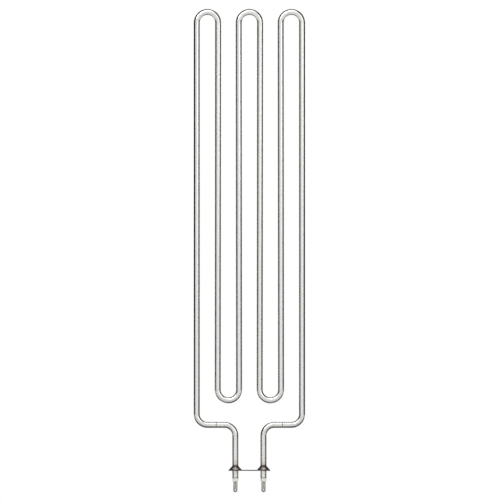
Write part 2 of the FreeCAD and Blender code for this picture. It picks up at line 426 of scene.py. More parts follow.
@dataclass(frozen=True)
class DrawnSheathSteel(LinedSteel):
    """Bright stainless tube with fine lines along it, duller bends and heat tint at the braze."""

    name: str = "drawn_sheath_steel"
    bright: Colour = grey(0.8, 0.02)
    dull: Colour = grey(0.7, 0.03)
    line_spacing: float = 0.25 * MM
    line_stretch: Triple = (1, 1, 0.015)
    cloud_spacing: float = 18 * MM
    cloud_stretch: Triple = (1, 1, 0.3)
    relief_depth: float = 0.006 * MM
    roughness: float = 0.13
    line_share: float = 0.3
    line_roughness: float = 0.06
    cloud_roughness: float = 0.06
    bend_roughness: float = 0.05
    strained: Coat = Coat(grey(0.64, 0.03), 0.5)
    tint: Coat = Coat((0.5, 0.4, 0.28, 1.0), 0.55)
    scorch: Coat = Coat((0.09, 0.07, 0.055, 1.0), 0.8)
    # painted shade: near-black colour laid into the marking grooves
    groove: Coat = Coat(grey(0.1, 0.05), 0.85)
    peel_spacing: float = 0.45 * MM
    braze_height: float = 6.5 * MM
    heat_waver: float = 0.5 * MM
    scorch_near: float = 1.6 * MM
    scorch_far: float = 3.4 * MM
    tint_far: float = 13 * MM
    joint: SealJointStainAndShade = SealJointStainAndShade()

    def sockets(self, shader: Shader) -> Sockets:
        """Lines and clouds along the tube, heat colours, painted shade in the grooves, and browned
        ends with painted shade where they meet the beads.

        Args:
            shader: the material's node tree.

        Returns:
            What feeds the Principled shader.
        """
        along = shader.attribute("tube_place", "Vector")
        bare = self.pattern(shader, along)
        peel = shader.noise(along, self.peel_spacing)
        bent = shader.attribute("bend")
        away = shader.off_level(shader.place(), self.braze_height) + peel * self.heat_waver
        heated = 1 - shader.ease(away, self.scorch_near, self.tint_far)
        scorched = 1 - shader.ease(away, self.scorch_near, self.scorch_far)
        colour = shader.coated(bare.colour, bent, self.strained)
        colour = shader.coated(colour, heated, self.tint)
        colour = shader.coated(colour, scorched, self.scorch)
        # painted shade in the grooves
        colour = shader.coated(colour, shader.attribute("groove"), self.groove)
        return {
            # sealant stain and painted shade where the sheath meets the bead
            "Base Color": self.joint.stained_and_shaded(shader, colour),
            "Metallic": 1.0,
            "Roughness": bare.roughness + bent * self.bend_roughness,
            "Normal": shader.relief(bare.lines + bent * peel, self.relief_depth),
        }


@dataclass(frozen=True)
class PressedFlangeSteel(LinedSteel):
    """Rolled sheet steel with a faint grain, oxidised by the brazing, with black cut edges."""

    name: str = "pressed_flange_steel"
    bright: Colour = grey(0.4, 0.02)
    dull: Colour = grey(0.29, 0.03)
    line_spacing: float = 0.2 * MM
    line_stretch: Triple = (0.06, 1, 1)
    cloud_spacing: float = 4 * MM
    cloud_detail: float = 4.0
    relief_depth: float = 0.01 * MM
    cloud_relief: float = 0.4
    roughness: float = 0.26
    line_share: float = 0.3
    cloud_roughness: float = 0.08
    oxide_roughness: float = 0.08
    oxide: Coat = Coat((0.09, 0.075, 0.065, 1.0), 0.7)
    boss_top: Point = (20 * MM, 5.6 * MM)  # how far along X and how high it is
    oxide_near: float = 5.2 * MM
    oxide_far: float = 8.6 * MM
    oxide_waver: float = 1 * MM
    scale: Coat = Coat((0.035, 0.031, 0.028, 1.0), 0.9)
    scale_roughness: float = 0.2
    scale_dulling: float = 0.4

    def sockets(self, shader: Shader) -> Sockets:
        """Grain, clouds, oxide that fades down each boss, and black scale on the cut edges.

        Args:
            shader: the material's node tree.

        Returns:
            What feeds the Principled shader.
        """
        place = shader.place()
        bare = self.pattern(shader, place)
        across, up = self.boss_top
        bosses = [shader.distance(place, (side.value * across, 0, up)) for side in Side]
        away = shader.sum_of("MINIMUM", *bosses) + bare.clouds * self.oxide_waver
        burnt = 1 - shader.ease(away, self.oxide_near, self.oxide_far)
        cut = shader.attribute("cut")
        colour = shader.coated(bare.colour, burnt, self.oxide)
        roughness = bare.roughness + burnt * self.oxide_roughness + cut * self.scale_roughness
        height = bare.lines * (1 - self.cloud_relief) + bare.clouds * self.cloud_relief
        return {
            "Base Color": shader.coated(colour, cut, self.scale),
            "Metallic": 1 - cut * self.scale_dulling,
            "Roughness": roughness,
            "Normal": shader.relief(height, self.relief_depth),
        }


@dataclass(frozen=True)
class PlatedBladeSteel(LinedSteel):
    """Nickel plate with fine rolling lines along the blade and a heat ring round each weld."""

    name: str = "plated_blade_steel"
    bright: Colour = (0.57, 0.555, 0.515, 1.0)
    dull: Colour = (0.43, 0.415, 0.38, 1.0)
    line_spacing: float = 0.12 * MM
    line_stretch: Triple = (1, 1, 0.04)
    cloud_spacing: float = 3 * MM
    relief_depth: float = 0.005 * MM
    roughness: float = 0.2
    heat: Coat = Coat((0.33, 0.28, 0.22, 1.0), 0.6)
    stamped: Coat = Coat((0.2, 0.19, 0.17, 1.0), 0.8)

    def sockets(self, shader: Shader) -> Sockets:
        """Lines along Z, clouds, the blade's own mark of its welds, and dull stamped edges.

        Args:
            shader: the material's node tree.

        Returns:
            What feeds the Principled shader.
        """
        bare = super().sockets(shader)
        welded = shader.coated(bare["Base Color"], shader.attribute("weld"), self.heat)
        return bare | {"Base Color": shader.coated(welded, shader.attribute("cut"), self.stamped)}


@dataclass(frozen=True)
class TurnedPinSteel(LinedSteel):
    """Steel wire with fine rings round it."""

    name: str = "turned_pin_steel"
    bright: Colour = grey(0.56, 0.02)
    dull: Colour = grey(0.4, 0.06)
    line_spacing: float = 0.15 * MM
    line_stretch: Triple = (0.1, 0.1, 1)
    cloud_spacing: float = 2 * MM
    relief_depth: float = 0.008 * MM
    roughness: float = 0.28


@dataclass(frozen=True)
class Grain:
    """Noise at a spacing. With levels, its patches have an edge between the two."""

    spacing: float
    detail: float = 2.0
    levels: Range | None = None

    def share(self, shader: Shader) -> Value:
        """How much of it each place has, between 0 and 1."""
        noise = shader.noise(shader.place(), self.spacing, self.detail)
        return shader.ease(noise, *self.levels) if self.levels else noise


@dataclass(frozen=True)
class PatchyFinish(Finish):
    """A surface with patches of colour, and with grains for its roughness and its relief."""

    base: Colour
    patches: tuple[tuple[Grain, Coat], ...]
    roughness: float
    roughening: float
    rough: Grain
    relief: Grain
    relief_depth: float
    relief_share: float
    metallic: float = 0.0
    dulling: float = 0.0  # how much less metallic it is where it is rough

    def sockets(self, shader: Shader) -> Sockets:
        """Patches over the base, from the lowest up.

        Args:
            shader: the material's node tree.

        Returns:
            What feeds the Principled shader.
        """
        colour = self.base
        for grain, coat in self.patches:
            colour = shader.coated(colour, grain.share(shader), coat)
        rough, height = self.rough.share(shader), self.relief.share(shader)
        return {
            "Base Color": colour,
            "Metallic": self.metallic - rough * self.dulling if self.dulling else self.metallic,
            "Roughness": self.roughness + rough * self.roughening,
            "Normal": shader.relief(height, self.relief_depth, self.relief_share),
        }


@dataclass(frozen=True)
class FiredSteatite(PatchyFinish):
    """Off-white steatite with a thin glaze, faint clouds and a few pores."""

    name: str = "fired_steatite"
    base: Colour = (0.89, 0.875, 0.84, 1.0)
    patches: tuple[tuple[Grain, Coat], ...] = (
        (Grain(3 * MM, 3.0, (0.35, 0.7)), Coat((0.81, 0.785, 0.72, 1.0))),
        (Grain(0.5 * MM, levels=(0.68, 0.76)), Coat((0.42, 0.36, 0.29, 1.0), 0.7)),
    )
    roughness: float = 0.34
    roughening: float = 0.16
    rough: Grain = Grain(3 * MM, 3.0)
    relief: Grain = Grain(0.5 * MM)
    relief_depth: float = 0.02 * MM
    relief_share: float = 0.6
    glaze: float = 0.3
    glaze_thinning: float = 0.2
    joint: SealJointStainAndShade = SealJointStainAndShade()

    def sockets(self, shader: Shader) -> Sockets:
        """Clouds and pores in the body, a glaze that thins over the clouds, and the stain with
        painted shade where bead and sheath meet.

        Args:
            shader: the material's node tree.

        Returns:
            What feeds the Principled shader.
        """
        body = super().sockets(shader)
        return body | {
            # sealant stain and painted shade where the bead meets the sheath
            "Base Color": self.joint.stained_and_shaded(shader, body["Base Color"]),
            "Coat Weight": self.glaze - self.rough.share(shader) * self.glaze_thinning,
        }


BRAZE_SCALE = Grain(2.4 * MM, 4.0, (0.28, 0.62))
FLOWED_BRAZE = PatchyFinish(
    "flowed_braze", base=(0.11, 0.08, 0.052, 1.0),
    patches=((BRAZE_SCALE, Coat((0.024, 0.021, 0.018, 1.0))),),
    roughness=0.4, roughening=0.25, rough=BRAZE_SCALE, relief=Grain(0.7 * MM),
    relief_depth=0.05 * MM, relief_share=0.5, metallic=1.0, dulling=0.5,
)
WELD_PITS = Grain(0.25 * MM, 3.0)
WELD_FLASH = PatchyFinish(
    "weld_flash", base=grey(0.5, 0.04),
    patches=(
        (Grain(1.2 * MM, levels=(0.3, 0.6)), Coat((0.3, 0.22, 0.15, 1.0))),
        (Grain(1.2 * MM, levels=(0.55, 0.75)), Coat((0.16, 0.18, 0.25, 1.0))),
    ),
    roughness=0.3, roughening=0.2, rough=WELD_PITS, relief=WELD_PITS,
    relief_depth=0.02 * MM, relief_share=0.6, metallic=1.0,
)
WIRE_OXIDE = Grain(1 * MM, 4.0)
OXIDISED_WIRE = PatchyFinish(
    "resistance_wire", base=grey(0.3, 0.1), patches=((WIRE_OXIDE, Coat(grey(0.12, 0.08))),),
    roughness=0.45, roughening=0.2, rough=WIRE_OXIDE, relief=WIRE_OXIDE,
    relief_depth=0.05 * MM, relief_share=0.4, metallic=0.8,
)
POWDER = Grain(0.3 * MM, 3.0)
PACKED_MAGNESIA = PatchyFinish(
    "packed_magnesia", base=grey(0.82, 0.04),
    patches=((replace(POWDER, levels=(0.45, 0.7)), Coat(grey(0.58, 0.08))),),
    roughness=0.8, roughening=0.15, rough=POWDER, relief=POWDER,
    relief_depth=0.08 * MM, relief_share=0.6,
)
RESIN_CLOUDS = Grain(1.5 * MM, 3.0)
CURED_RESIN = PatchyFinish(
    "cured_resin", base=(0.42, 0.14, 0.08, 1.0),
    patches=((RESIN_CLOUDS, Coat((0.28, 0.08, 0.05, 1.0))),),
    roughness=0.4, roughening=0.2, rough=RESIN_CLOUDS, relief=RESIN_CLOUDS,
    relief_depth=0.04 * MM, relief_share=0.5,
)


# Outlines and meshes


@dataclass(frozen=True)
class Corner:
    """A corner of an outline, with the radius that it is rounded to."""

    across: float
    up: float
    radius: float = 0.0


def rounded(corners: Sequence[Corner], steps: int = 6) -> list[Point]:
    """A closed outline whose corners are arcs.

    Args:
        corners: the corners in order round the outline.
        steps: how many chords each arc has.

    Returns:
        The outline's points.
    """
    points: list[Point] = []
    for number, corner in enumerate(corners):
        here = Vector((corner.across, corner.up))
        if not corner.radius:
            points.append(tuple(here))
            continue
        before, after = corners[number - 1], corners[(number + 1) % len(corners)]
        back = (Vector((before.across, before.up)) - here).normalized()
        ahead = (Vector((after.across, after.up)) - here).normalized()
        half = back.angle(ahead) / 2
        centre = here + (back + ahead).normalized() * (corner.radius / math.sin(half))
        start = here + back * (corner.radius / math.tan(half)) - centre
        swing = math.copysign(math.pi - 2 * half, back.x * ahead.y - back.y * ahead.x)
        for step in range(steps + 1):
            points.append(tuple(centre + Matrix.Rotation(-swing * step / steps, 2) @ start))
    return points


def arc(centre: Point, radius: float, start: float, sweep: float, steps: int) -> list[Point]:
    """The points of an arc.

    Args:
        centre: its centre.
        radius: its radius.
        start: the angle of its first point, anticlockwise from the first axis.
        sweep: how far it goes round.
        steps: how many chords it has.

    Returns:
        The points, with both ends.
    """
    x, y = centre
    angles = [start + sweep * step / steps for step in range(steps + 1)]
    return [(x + radius * math.cos(angle), y + radius * math.sin(angle)) for angle in angles]


def circle(centre: Point, radius: float, steps: int) -> list[Point]:
    """The points of a circle, anticlockwise."""
    return arc(centre, radius, 0.0, FULL_TURN, steps)[:-1]


def encloses(loop: Sequence[Point], point: Point) -> bool:
    """Whether a point lies inside a closed outline.

    Args:
        loop: the outline's points.
        point: the point.

    Returns:
        True where a level line from the point crosses the outline an odd number of times.
    """
    crossings = 0
    for first, second in zip(loop, [*loop[1:], loop[0]]):
        if (first[1] > point[1]) != (second[1] > point[1]):
            share = (point[1] - first[1]) / (second[1] - first[1])
            crossings += point[0] < first[0] + share * (second[0] - first[0])
    return crossings % 2 == 1


def ring_faces(rings: int, points: int, first: int = 0, looped: bool = False,
               closed: bool = True) -> list[Face]:
    """The faces between successive rings of points.

    Args:
        rings: how many rings there are.
        points: how many points each ring has.
        first: the number of the first ring's first point.
        looped: whether the last ring joins the first one.
        closed: whether the last point of a ring joins its first one.

    Returns:
        The faces.
    """
    faces = []
    for ring in range(rings if looped else rings - 1):
        low, high = first + ring * points, first + (ring + 1) % rings * points
        for step in range(points if closed else points - 1):
            beside = (step + 1) % points
            faces.append((low + step, low + beside, high + beside, high + step))
    return faces


@dataclass(frozen=True)
class Mesh:
    """The raw faces of a piece and what its finish reads from them."""

    vertices: list[Vector]
    faces: list[Face]
    marks: dict[str, list[float]] = field(default_factory=dict)
    tube_places: list[Vector] = field(default_factory=list)

    crease_angle: ClassVar[float] = math.radians(34)
    weld_distance: ClassVar[float] = 1e-7

    def piece(self, name: str, slot: str, material: bpy.types.Material, *nodes: str) -> None:
        """Makes the piece and seats it on the element.

        Args:
            name: the piece's name.
            slot: the name of its material slot; not used.
            material: the piece's finish.
            nodes: the CAD nodes that it stands for.
        """
        mesh = bpy.data.meshes.new(name)
        mesh.from_pydata(self.vertices, [], self.faces)
        for mark, values in self.marks.items():
            mesh.attributes.new(mark, "FLOAT", "POINT").data.foreach_set("value", values)
        if self.tube_places:
            flat = [part for place in self.tube_places for part in place]
            layer = mesh.attributes.new("tube_place", "FLOAT_VECTOR", "POINT")
            layer.data.foreach_set("vector", flat)
        form = bmesh.new()
        form.from_mesh(mesh)
        bmesh.ops.remove_doubles(form, verts=form.verts, dist=self.weld_distance)
        bmesh.ops.recalc_face_normals(form, faces=form.faces)
        form.to_mesh(mesh)
        form.free()
        mesh.shade_smooth()
        mesh.set_sharp_from_angle(angle=self.crease_angle)
        mesh.materials.append(material)
        piece = placed(name, mesh)
        weighted = piece.modifiers.new("flat_faces_first", "WEIGHTED_NORMAL")
        weighted.keep_sharp = True
        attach(piece, BODY)
        if nodes:
            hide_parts(*nodes)
        stands_for = ", ".join(nodes) or "no node"
        LOG.info("%s: %d faces, in place of %s", name, len(mesh.polygons), stands_for)


# Centrelines


def unit(heading: float) -> Vector:
    """The direction of a heading in the XZ plane, seen from the front."""
    return Vector((math.cos(heading), math.sin(heading)))


def left_of(heading: float) -> Vector:
    """The direction to the left of a heading."""
    return Vector((-math.sin(heading), math.cos(heading)))


@dataclass(frozen=True)
class Stretch:
    """A straight or evenly bent stretch of centreline. Its curvature turns it left."""

    start: Vector
    heading: float
    length: float
    curvature: float = 0.0

    def at(self, distance: float) -> tuple[Vector, float]:
        """Follows the stretch.

        Args:
            distance: how far from the stretch's start.

        Returns:
            The place and the heading there.
        """
        if not self.curvature:
            return self.start + unit(self.heading) * distance, self.heading
        heading = self.heading + self.curvature * distance
        centre = self.start + left_of(self.heading) / self.curvature
        return centre - left_of(heading) / self.curvature, heading


@dataclass(frozen=True)
class Centreline:
    """Stretches laid end to end."""

    stretches: list[Stretch]

    @property
    def spans(self) -> list[tuple[Stretch, float, float]]:
        """Each stretch with the distances along the line at its two ends."""
        ends = list(accumulate((stretch.length for stretch in self.stretches), initial=0.0))
        return list(zip(self.stretches, ends, ends[1:]))

    @property
    def length(self) -> float:
        """The length along all the stretches."""
        return self.spans[-1][2]

    def at(self, distance: float) -> tuple[Vector, float]:
        """The place and the heading at a distance along the line."""
        stretch, first, _ = next((span for span in self.spans if distance <= span[2]), self.spans[-1])
        return stretch.at(distance - first)

    def stations(self, step_angle: float, beside: float) -> list[float]:
        """The distances that the line's form needs.

        Args:
            step_angle: how far a bend turns between two of them.
            beside: how far from each bend there is one more.

        Returns:
            The distances, from the first stretch's end to the last one's start.
        """
        distances = []
        for stretch, first, last in self.spans:
            if stretch.curvature:
                steps = math.ceil(abs(stretch.curvature) * stretch.length / step_angle)
                distances += [first + stretch.length * step / steps for step in range(steps + 1)]
            else:
                distances += [first + beside, last - beside]
        return distances[1:-1]

    def bend_mark(self, fade: float) -> Callable[[float], float]:
        """How far each place of the line belongs to a bend.

        Args:
            fade: the length beside a bend over which it fades.

        Returns:
            A function of the distance along the line: 1 in a bend and 0 far from it.
        """
        bends = [(first, last) for stretch, first, last in self.spans if stretch.curvature]

        def mark(distance: float) -> float:
            """1 in a bend and 0 further from it than the fade."""
            away = min(max(first - distance, distance - last) for first, last in bends)
            return 1 - min(1.0, max(0.0, away / fade))

        return mark

    def turned_mesh(self, outline: Sequence[Point], segments: int,
                    marks: dict[str, Callable[[float], float]] | None = None) -> Mesh:
        """A piece that is round about the line, as if turned and then bent with it.

        Args:
            outline: its closed outline as (distance along the line, radius).
            segments: how many faces go round it.
            marks: values for the finish, by distance along the line.

        Returns:
            The mesh.
        """
        vertices, places = [], []
        for distance, radius in outline:
            centre, heading = self.at(distance)
            side = left_of(heading)
            for out, depth in circle((0.0, 0.0), radius, segments):
                spot = centre + side * out
                vertices.append(Vector((spot.x, depth, spot.y)))
                places.append(Vector((out, depth, distance)))
        values = {
            name: [mark(distance) for distance, _ in outline for _ in range(segments)]
            for name, mark in (marks or {}).items()
        }
        faces = ring_faces(len(outline), segments, looped=True)
        return Mesh(vertices, faces, values, places)


def upright(low: Vector, high: Vector) -> Centreline:
    """A straight line that rises through the middle of a box between two corners."""
    foot = Vector(((low.x + high.x) / 2, low.z))
    return Centreline([Stretch(foot, QUARTER_TURN, high.z - low.z)])


@dataclass(frozen=True)
class Roll:
    """A roll that the tube is bent round: side 1 turns left, -1 right, 0 is an open end."""

    centre: Vector
    side: int

    def contact(self, heading: float, radius: float) -> Vector:
        """Where a line with a heading touches the roll at a radius."""
        return self.centre - left_of(heading) * (self.side * radius)


# Sub-assemblies


@dataclass(frozen=True)
class SheathTube:
    """The bent steel tube with its marking grooves and its open, deburred ends."""

    diameter: float = 8.5 * MM
    wall: float = 0.8 * MM
    bend_radius: float = 15.2 * MM
    loop_count: int = 3
    loop_pitch: float = 59.7 * MM
    loop_top: float = 652.7 * MM
    lower_bend: float = 100.3 * MM
    arm_height: float = 65.4 * MM
    terminal_spacing: float = 40 * MM
    tail: float = 10.1 * MM  # how far the ends reach below the flange's lower face
    unheated: float = 96.2 * MM  # from each end to its groove, along the tube
    groove_width: float = 1.2 * MM
    groove_depth: float = 0.3 * MM
    end_radius: float = 0.35 * MM
    bend_fade: float = 3 * MM  # how far a bend's strain shows on the runs beside it
    segments: int = 48
    bend_step: float = math.radians(4)
    groove_steps: int = 8
    end_steps: int = 4
    finish: Finish = DrawnSheathSteel()

    def rolls(self) -> list[Roll]:
        """Lays out the rolls.

        Returns:
            The rolls from the left open end to the right one.
        """
        radius, leg = self.bend_radius, self.terminal_spacing / 2
        last = self.loop_pitch * (self.loop_count - 1) / 2
        loops = []
        for number in range(self.loop_count):
            x = self.loop_pitch * number - last
            loops.append(Roll(Vector((x, self.loop_top - radius)), -1))
            between = Vector((x + self.loop_pitch / 2, self.lower_bend + radius))
            loops.append(Roll(between, 1))
        loops.pop()  # no lower bend comes after the last loop
        left, right = (
            [
                Roll(Vector((side.value * leg, -self.tail)), 0),
                Roll(Vector((side.value * (leg + radius), self.arm_height - radius)), 1),
                Roll(Vector((side.value * last, self.arm_height + radius)), -1),
            ]
            for side in Side
        )
        return left + loops + right[::-1]

    def centreline(self) -> Centreline:
        """The line along the middle of the tube, tangent to its rolls.

        Returns:
            The centreline from the left open end to the right one.
        """
        rolls, radius = self.rolls(), self.bend_radius
        stretches, arriving = [], 0.0
        for roll, following in zip(rolls, rolls[1:]):
            offset = following.centre - roll.centre
            sideways = radius * (following.side - roll.side)
            heading = math.atan2(offset.y, offset.x) - math.asin(sideways / offset.length)
            start, end = roll.contact(heading, radius), following.contact(heading, radius)
            if roll.side:
                angle = (roll.side * (heading - arriving)) % FULL_TURN
                entry = roll.contact(arriving, radius)
                stretches.append(Stretch(entry, arriving, angle * radius, roll.side / radius))
            stretches.append(Stretch(start, heading, (end - start).length))
            arriving = heading
        return Centreline(stretches)

    def groove_radius(self, offset: float) -> float:
        """The radius at an offset from a groove's middle, in the round edge of the marking roll."""
        roll = (self.groove_width**2 / 4 + self.groove_depth**2) / (2 * self.groove_depth)
        return self.diameter / 2 - self.groove_depth + roll - math.sqrt(roll**2 - offset**2)

    def mesh(self) -> Mesh:
        """The hollow tube with its two grooves.

        Returns:
            The mesh.
        """
        line = self.centreline()
        outer, bore = self.diameter / 2, self.diameter / 2 - self.wall
        half = self.groove_width / 2
        grooves = (self.unheated, line.length - self.unheated)
        ends = rounded(
            [
                Corner(0, bore, self.end_radius),
                Corner(0, outer, self.end_radius),
                Corner(line.length, outer, self.end_radius),
                Corner(line.length, bore, self.end_radius),
            ],
            self.end_steps,
        )
        near, far = ends[: len(ends) // 2], ends[len(ends) // 2:]

        def from_groove(distance: float) -> float:
            """How far a place lies from the nearer groove's middle."""
            return min(abs(distance - groove) for groove in grooves)

        def groove_shade_mark(distance: float) -> float:
            """Where the grooves' painted shade lies: 1 in the middle of a groove and 0 beside it."""
            return max(0.0, 1 - (from_groove(distance) / half) ** 2)

        bends = [
            distance for distance in line.stations(self.bend_step, self.bend_fade)
            if from_groove(distance) > half
        ]
        outside = [(distance, outer) for distance in bends]
        for groove in grooves:
            for step in range(self.groove_steps + 1):
                offset = half * (2 * step / self.groove_steps - 1)
                outside.append((groove + offset, self.groove_radius(offset)))
        inside = [(distance, bore) for distance in bends]
        # the groove mark places the painted shade in the grooves
        marks = {"groove": groove_shade_mark, "bend": line.bend_mark(self.bend_fade)}
        outline = near + sorted(outside) + far + sorted(inside, reverse=True)
        return line.turned_mesh(outline, self.segments, marks)

    def build(self) -> None:
        """Makes the tube in place of its node."""
        self.mesh().piece("bent_sheath_tube", "sheath_steel", self.finish.material(), "sheath")


@dataclass(frozen=True)
class CeramicBeads:
    """The insulating bead in each end of the sheath."""

    diameter: float = 8.6 * MM
    height: float = 4.9 * MM
    spigot_length: float = 5 * MM
    spigot_diameter: float = 6.7 * MM
    hole_diameter: float = 3.2 * MM
    lower_edge: float = 1 * MM
    upper_edge: float = 0.35 * MM
    mouth_edge: float = 0.3 * MM
    segments: int = 72
    finish: Finish = FiredSteatite()

    def outline(self) -> list[Point]:
        """The bead's section.

        Returns:
            The outline, with heights from the bead's lower face.
        """
        body, hole = self.diameter / 2, self.hole_diameter / 2
        spigot, top = self.spigot_diameter / 2, self.height + self.spigot_length
        return rounded(
            [
                Corner(0, hole, self.mouth_edge),
                Corner(0, body, self.lower_edge),
                Corner(self.height, body, self.upper_edge),
                Corner(self.height, spigot),
                Corner(top, spigot, self.upper_edge),
                Corner(top, hole, self.upper_edge),
            ]
        )

    def build(self) -> None:
        """Makes both beads in place of their nodes."""
        material = self.finish.material()
        for side in Side:
            node = f"ceramic_bead_{side.label}"
            mesh = upright(*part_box(node)).turned_mesh(self.outline(), self.segments)
            mesh.piece(f"steatite_bead_{side.label}", "steatite", material, node)


@dataclass(frozen=True)
class BrazedJoints:
    """The hollow-faced ring of brazing metal between each boss and its leg."""

    leg_radius: float = 4.25 * MM
    top_width: float = 0.28 * MM
    sag: float = 0.2 * MM
    lip: float = 0.12 * MM  # the rounding where the metal stopped flowing
    waviness: float = 0.035
    waves: tuple[int, int] = (5, 8)  # how many there are round the ring
    segments: int = 72
    steps: int = 10
    finish: Finish = FLOWED_BRAZE

    def outline(self, base_radius: float, height: float) -> list[Point]:
        """The ring's section.

        Args:
            base_radius: the ring's outer radius on the boss.
            height: how high it climbs up the leg.

        Returns:
            The outline, with a face that hangs in towards the corner.
        """
        top_radius = self.leg_radius + self.top_width
        face = []
        for step in range(self.steps):
            share = step / self.steps
            radius = base_radius + (top_radius - base_radius) * share
            face.append(Corner(height * share, radius - self.sag * math.sin(math.pi * share)))
        return rounded(
            [
                *face,
                Corner(height, top_radius, self.lip),
                Corner(height, self.leg_radius),
                Corner(0, self.leg_radius),
            ]
        )

    def build(self) -> None:
        """Makes both rings in place of their nodes."""
        material = self.finish.material()
        few, many = self.waves
        for side in Side:
            node = f"braze_ring_{side.label}"
            low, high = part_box(node)
            outline = self.outline((high.x - low.x) / 2, high.z - low.z)
            mesh = upright(low, high).turned_mesh(outline, self.segments)
            for vertex, place in zip(mesh.vertices, mesh.tube_places):
                angle = math.atan2(place.y, place.x)
                ripple = math.sin(few * angle + side.value) + math.sin(many * angle)
                vertex.z -= self.waviness * place.z * (1 + ripple / 2)
            mesh.piece(f"braze_fillet_{side.label}", "braze", material, node)


@dataclass(frozen=True)
class PressedSheet:
    """A sheet part with rounded edges and a height for each point of its two faces."""

    edges: list[list[Point]]  # the outer edge first, anticlockwise, then holes, clockwise
    creases: list[list[Point]]
    front: Callable[[Point], float]
    back: Callable[[Point], float]
    edge_radius: float
    lie: Run
    origin: Vector
    edge_steps: int = 4
    merge_distance: float = 1e-8

    def seat(self, point: Point, height: float) -> Vector:
        """A point of the sheet in the element's frame."""
        across, along, out = self.lie.value
        return self.origin + across * point[0] + along * point[1] + out * height

    def inset(self, edge: Sequence[Point], distance: float) -> list[Point]:
        """An edge moved into the material.

        Args:
            edge: the edge's points, with the material to the left.
            distance: how far it moves.

        Returns:
            The moved points, as many as before.
        """
        moved = []
        for number, point in enumerate(edge):
            here = Vector(point)
            arriving = (here - Vector(edge[number - 1])).normalized()
            leaving = (Vector(edge[(number + 1) % len(edge)]) - here).normalized()
            normals = [Vector((-way.y, way.x)) for way in (arriving, leaving)]
            mitre = (normals[0] + normals[1]) / (1 + normals[0].dot(normals[1]))
            moved.append(tuple(here + mitre * distance))
        return moved

    def rims(self, edge: Sequence[Point]) -> list[list[Vector]]:
        """Rounds an edge.

        Args:
            edge: the edge's points.

        Returns:
            The rings of points from the front face round the edge to the back face.
        """
        front, back = [], []
        for step in range(self.edge_steps + 1):
            angle = QUARTER_TURN * step / self.edge_steps
            ring = self.inset(edge, self.edge_radius * (1 - math.sin(angle)))
            drop = self.edge_radius * (1 - math.cos(angle))
            pairs = list(zip(ring, edge))
            front.append([self.seat(spot, self.front(place) - drop) for spot, place in pairs])
            back.append([self.seat(spot, self.back(place) + drop) for spot, place in pairs])
        return front + back[::-1]

    def filling(self) -> tuple[list[Point], list[Face]]:
        """What both faces are made of, inside the rounded edges.

        Returns:
            The points, and the triangles between them.
        """
        outside, *holes = [self.inset(edge, self.edge_radius) for edge in self.edges]
        links, points = [], []
        for loop in (outside, *holes, *self.creases):
            first, count = len(points), len(loop)
            links += [(first + step, first + (step + 1) % count) for step in range(count)]
            points += [Vector(point) for point in loop]
        spots, _, triangles, *_ = delaunay_2d_cdt(
            points, links, [], 0, self.merge_distance, False
        )
        kept = []
        for corners in triangles:
            middle = tuple(sum((spots[corner] for corner in corners), Vector((0, 0))) / 3)
            if encloses(outside, middle) and not any(encloses(hole, middle) for hole in holes):
                kept.append(tuple(corners))
        return [tuple(spot) for spot in spots], kept

    def mesh(self, marks: dict[str, Callable[[Point], float]] | None = None) -> Mesh:
        """The whole sheet.

        Args:
            marks: values for the finish, by place on the sheet.

        Returns:
            The mesh, which also has the mark "cut": 1 on the cut edges and 0 on both faces.
        """
        spots, triangles = self.filling()
        vertices, faces, places = [], [], []
        for height in (self.front, self.back):
            faces += [tuple(len(vertices) + corner for corner in face) for face in triangles]
            vertices += [self.seat(spot, height(spot)) for spot in spots]
            places += spots
        cut = [0.0] * len(vertices)
        for edge in self.edges:
            rings = self.rims(edge)
            faces += ring_faces(len(rings), len(edge), first=len(vertices))
            for number, ring in enumerate(rings):
                from_face = min(number, len(rings) - 1 - number)
                cut += [from_face / self.edge_steps] * len(ring)
                vertices += ring
                places += edge
        values = {name: [mark(place) for place in places] for name, mark in (marks or {}).items()}
        return Mesh(vertices, faces, values | {"cut": cut})


def softened(rise: float, width: float) -> float:
    """A ramp that is 0 below 0 and equals its rise above, softened over a width about 0."""
    into = min(max(rise + width / 2, 0.0), width)
    return into**2 / (2 * width) + max(0.0, rise - width / 2)


